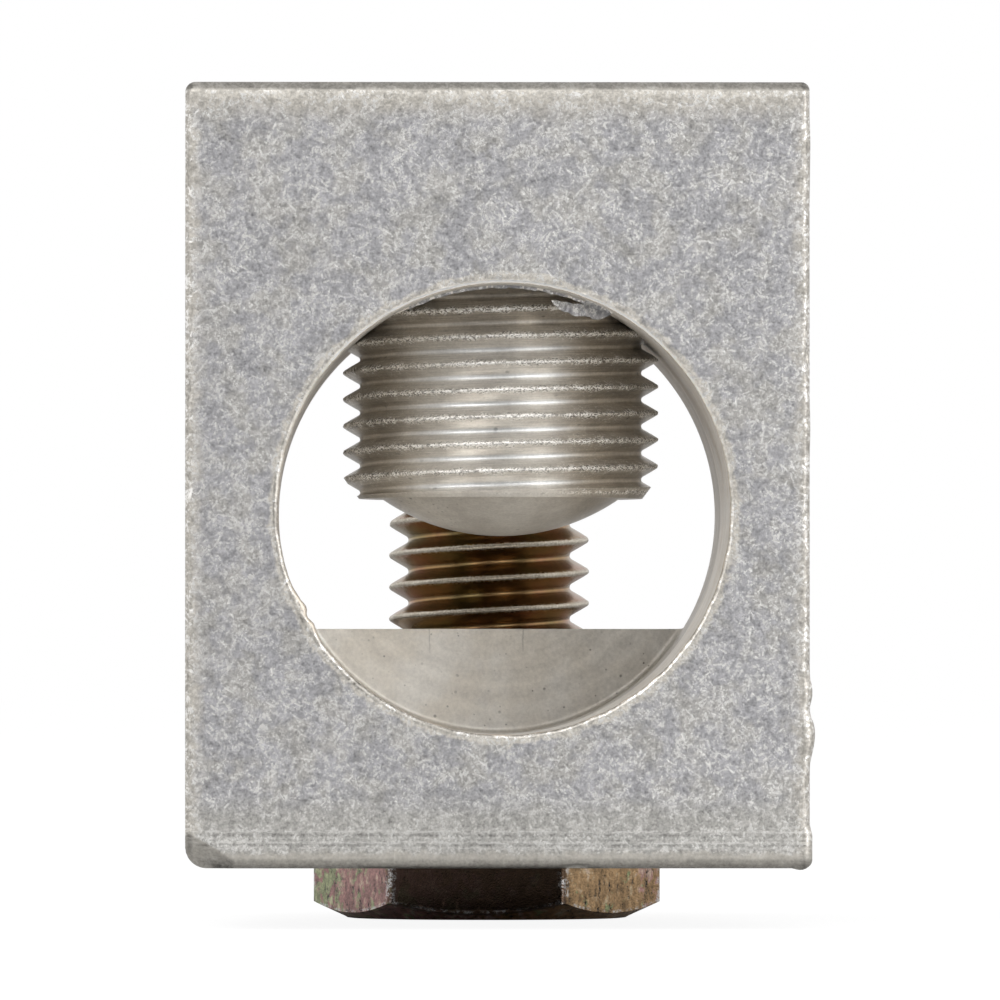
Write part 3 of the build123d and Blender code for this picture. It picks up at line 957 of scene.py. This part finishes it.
def yellow_zinc():
    """Yellow-chromated zinc: a brown to ochre film, worn grey on the thread's crests and corners, with
    painted glints on the crests, painted highlights along the roots and a painted dark reflection on the
    head's front flat.
    """
    g, p, x, y, z = new_metal("yellow_zinc")
    phase, _, _, radius = thread_place(g, p, **BOLT)
    shank = g.step(z, TONGUE_BOTTOM - 0.2, TONGUE_BOTTOM + 0.2)
    head = g.rest(shank)
    grain = g.noise(p, 5.5, 3, 0.65)
    speck = g.noise(p, 9.0, 2, 0.6)
    tall = g.noise(g.vector("MULTIPLY", p, (2.4, 2.4, 0.9)), 1.0, 3.0, 0.6)
    bloom = g.noise(p, 0.3, 2, 0.5, 0.5)
    bits = g.noise(p, 1.25, 4, 0.65)
    other = g.noise(g.vector("ADD", p, (40.0, 0.0, 0.0)), 0.95, 4.0, 0.62, 0.3)
    threaded = g.times(shank, g.step(radius, 4.9, 5.1), g.step(z, BOLT_TOP - 0.02, BOLT_TOP - 0.1))
    crest = g.times(g.step(g.add(phase, g.swing(grain, 0.16)), 0.125, 0.04), threaded)
    root = g.times(g.step(phase, 0.455, 0.49), threaded)

    # Film: brown on the shank; ochre, pink and green in patches on the head
    film = g.mix((0.25, 0.158, 0.075), (0.22, 0.165, 0.078), g.step(bloom, 0.5, 0.62))
    film = g.mix(film, (0.265, 0.145, 0.082), g.step(bloom, 0.46, 0.34))
    pink = g.add((bits, 1.5), (tall, 0.5), (x, -0.04), (g.step(x, 8.6, 9.8), 0.4))
    wash = g.mix((0.335, 0.215, 0.11), (0.31, 0.17, 0.155), g.step(pink, 0.94, 1.12))
    green = g.add(other, (g.step(x, -8.2, -9.6), 0.09), (g.step(x, -1.0, 1.0), -0.06))
    wash = g.mix(wash, (0.27, 0.33, 0.17), g.times(g.step(green, 0.54, 0.62), 0.8))
    wash = g.mix(wash, (0.42, 0.37, 0.27), g.times(g.step(bits, 0.52, 0.66), 0.5))
    fleck = g.times(g.step(tall, 0.42, 0.34), g.step(grain, 0.54, 0.42), head)
    # The roots get a painted highlight in this tone
    tone = g.add(1.0, g.swing(grain, g.ease(head, 0.45, 1.5)), g.swing(tall, g.ease(head, 0.7, 1.6)),
                 (g.swing(speck, head), 1.2), (g.swing(bits, head), 2.2), (root, 0.9), (fleck, -0.6))
    colour = g.tint(g.mix(wash, film, shank), tone)

    # The head's front flat is painted near-black, a painted dark reflection; its corners and lower edge
    # are rubbed grey
    hx, hy = g.minus(x, HEAD_X), g.minus(y, BOLT_Y)
    reach = g.hypot(hx, hy)
    turn = math.radians(HEAD_TURN)
    ahead = g.add((hx, math.sin(turn)), (hy, -math.cos(turn)))
    # Painted reflection: the front flat painted near-black, as it mirrors the dark in front of it
    painted_dark_reflection = g.times(g.step(ahead, HEAD_FLAT - 0.3, HEAD_FLAT - 0.06), head)
    colour = g.mix(colour, (0.095, 0.064, 0.048), g.times(painted_dark_reflection, 0.88))
    corner = g.step(g.add(reach, g.swing(bits, 0.4)), 10.56, 10.68)
    rise = g.minus(z, g.times(g.minus(reach, HEAD_END), HEAD_SLOPE))
    rise = g.add(rise, g.swing(bits, 0.25))
    arris = g.times(g.step(rise, 0.24, 0.1), g.step(rise, 0.0, 0.06))
    nicked = g.times(corner, g.step(speck, 0.42, 0.54), g.step(bits, 0.44, 0.56))
    nicked = g.most(nicked, g.times(arris, g.step(grain, 0.44, 0.54), g.step(bits, 0.4, 0.52)))
    colour = g.mix(colour, (0.58, 0.58, 0.58), g.times(nicked, head, 0.8))
    # Painted glints: bright specks painted on the worn grey crests
    bright = g.times(crest, g.step(speck, 0.42, 0.62, (0.15, 1.0)))
    colour = g.mix(colour, g.mix((0.4, 0.36, 0.29), (0.66, 0.62, 0.54), bright), g.times(crest, 0.92))
    height = g.add((grain, 0.8), (tall, 1.2), (crest, g.times(grain, 4.0)), (fleck, -2.0),
                   (head, g.times(speck, 1.2)))
    rough = g.add(g.ease(crest, 0.26, 0.38), (head, -0.06))
    return g.finish(colour, rough, height, 0.000006)


block.data.materials.append(tumbled_tin())
block.data.materials.append(machined_tin())
screw.data.materials.append(bright_tin())
bolt.data.materials.append(yellow_zinc())


def mark_machined(mesh):
    """Gives the bore, its blind end and the tapped holes their own finish, but not the torn burrs."""
    centres = np.zeros(len(mesh.polygons) * 3)
    mesh.polygons.foreach_get("center", centres)
    x, y, z = (centres.reshape(-1, 3) * 1000).T
    bore = np.hypot(x - BORE_X, z - BORE_Z)
    torn = (y < -22) & (z > BORE_Z + 9) & (bore < BORE_R - 0.05)
    machined = (bore < BORE_R + 0.02) & (y < BLIND_END + 0.05)
    machined |= (np.hypot(x - SCREW_X, y - SCREW_Y) < 10.35) & (z > BORE_Z) & (z < BARREL_TOP - 0.02)
    machined &= ~torn
    tongue = (z > TONGUE_BOTTOM + 0.02) & (z < TONGUE_TOP - 0.02)
    machined |= (np.hypot(x - BOLT_X, y - BOLT_Y) < 6.85) & tongue
    mesh.polygons.foreach_set("material_index", machined.astype(np.int32))


mark_machined(block.data)


# Stage: a pale floor and a world that the camera sees as white, two softboxes and black cards

def white_for(g, rays, white, other):
    """The white shader for some kinds of rays, and the other one for the rest."""
    path = g.node("LightPath").outputs
    seen = [path[f"Is {ray} Ray"] for ray in rays]
    share = seen[0]
    for ray in seen[1:]:
        share = g.most(share, ray)
    return g.node("MixShader", {0: share, 1: other, 2: white}).outputs[0]


world = bpy.data.worlds.new("studio")
bpy.context.scene.world = world
g = Graph(world)
white = g.node("Background", {"Color": 1.0, "Strength": 1.0}).outputs[0]
fill = g.node("Background", {"Color": 1.0, "Strength": 0.45}).outputs[0]
g.node("OutputWorld", {0: white_for(g, ("Camera", "Glossy", "Transmission"), white, fill)})

FLOOR_HALF = 8
floor_mesh = bpy.data.meshes.new("floor")
corners = [(x * FLOOR_HALF, y * FLOOR_HALF, 0) for x, y in ((-1, -1), (1, -1), (1, 1), (-1, 1))]
floor_mesh.from_pydata(corners, [], [(0, 1, 2, 3)])
floor = add_object("floor", floor_mesh)
g = Graph(bpy.data.materials.new("floor"))
glow = g.node("Emission", {"Strength": 0.91}).outputs[0]
soft = g.node("BsdfDiffuse", {"Color": 0.2}).outputs[0]
white = g.node("AddShader", {0: glow, 1: soft}).outputs[0]
pale = g.node("BsdfDiffuse", {"Color": 0.85}).outputs[0]
g.node("OutputMaterial", {0: white_for(g, ("Camera", "Transmission"), white, pale)})
floor_mesh.materials.append(g.owner)


def aim(obj, place, target):
    obj.location = place
    obj.rotation_mode = "QUATERNION"
    obj.rotation_quaternion = (Vector(target) - Vector(place)).to_track_quat("-Z", "Y")


def softbox(name, azimuth, elevation, width, height, radiance):
    """Lamp that looks at the middle of the lug from 1.3 m away, in metres and degrees."""
    distance, middle = 1.3, (0, 0, 0.025)
    light = bpy.data.lights.new(name, "AREA")
    light.shape = "RECTANGLE"
    light.size, light.size_y = width, height
    light.energy = radiance * math.pi * width * height
    a, e = math.radians(azimuth), math.radians(elevation)
    place = Vector((math.sin(a) * math.cos(e), -math.cos(a) * math.cos(e), math.sin(e))) * distance
    aim(add_object(name, light), place + Vector(middle), middle)


softbox("left_box", azimuth=-28, elevation=32, width=0.7, height=0.9, radiance=3.8)
softbox("right_box", azimuth=28, elevation=8, width=0.65, height=1.0, radiance=3.95)

# Black cards that only reflections see: one far in front, and three just above the floor, each given
# by its near and far edge as (y, left, right), which keep the white floor out of the lower bevels
points = [(-0.6, -1.5, -0.4), (0.75, -1.5, -0.4), (0.75, -1.5, 0.9), (-0.6, -1.5, 0.9)]
for (near, near_left, near_right), (far, far_left, far_right) in (
    ((-1.5, -0.14, 0.16), (-0.1, -0.14, 0.16)),
    ((-0.1, -0.011, 0.009), (-0.044, -0.007, 0.0055)),
    ((-0.0275, -0.008, 0.006), (0.004, -0.008, 0.006)),
):
    edges = ((near_left, near), (near_right, near), (far_right, far), (far_left, far))
    points += [(x, y, 0.0006) for x, y in edges]
flag_mesh = bpy.data.meshes.new("flag")
flag_mesh.from_pydata(points, [], [tuple(range(i, i + 4)) for i in range(0, len(points), 4)])
flag = add_object("flag", flag_mesh)
g = Graph(bpy.data.materials.new("black_card"))
g.node("OutputMaterial", {0: g.node("BsdfDiffuse", {"Color": 0.01}).outputs[0]})
flag_mesh.materials.append(g.owner)
flag.visible_camera = False
flag.visible_diffuse = False
flag.visible_shadow = False

# Camera: stands square in front of the pixel AXIS_PX of the photo and is turned to the picture's middle
FOCAL_PX, PICTURE_PX, SENSOR = 12673.0, 1000, 36.0
AXIS_PX = (299, 682)
EYE = (-11.63, FRONT - 742.0, 14.57)
camera_data = bpy.data.cameras.new("camera")
camera_data.sensor_width = SENSOR
camera_data.lens = FOCAL_PX / PICTURE_PX * SENSOR
camera_data.clip_start, camera_data.clip_end = 0.01, 100
camera = add_object("camera", camera_data)
bpy.context.scene.camera = camera
place = Vector(EYE) * 0.001
centre = PICTURE_PX / 2
look = Vector(((centre - AXIS_PX[0]) / FOCAL_PX, 1.0, (AXIS_PX[1] - centre) / FOCAL_PX))
aim(camera, place, place + look)

scene = bpy.context.scene
scene.view_settings.view_transform = "Standard"
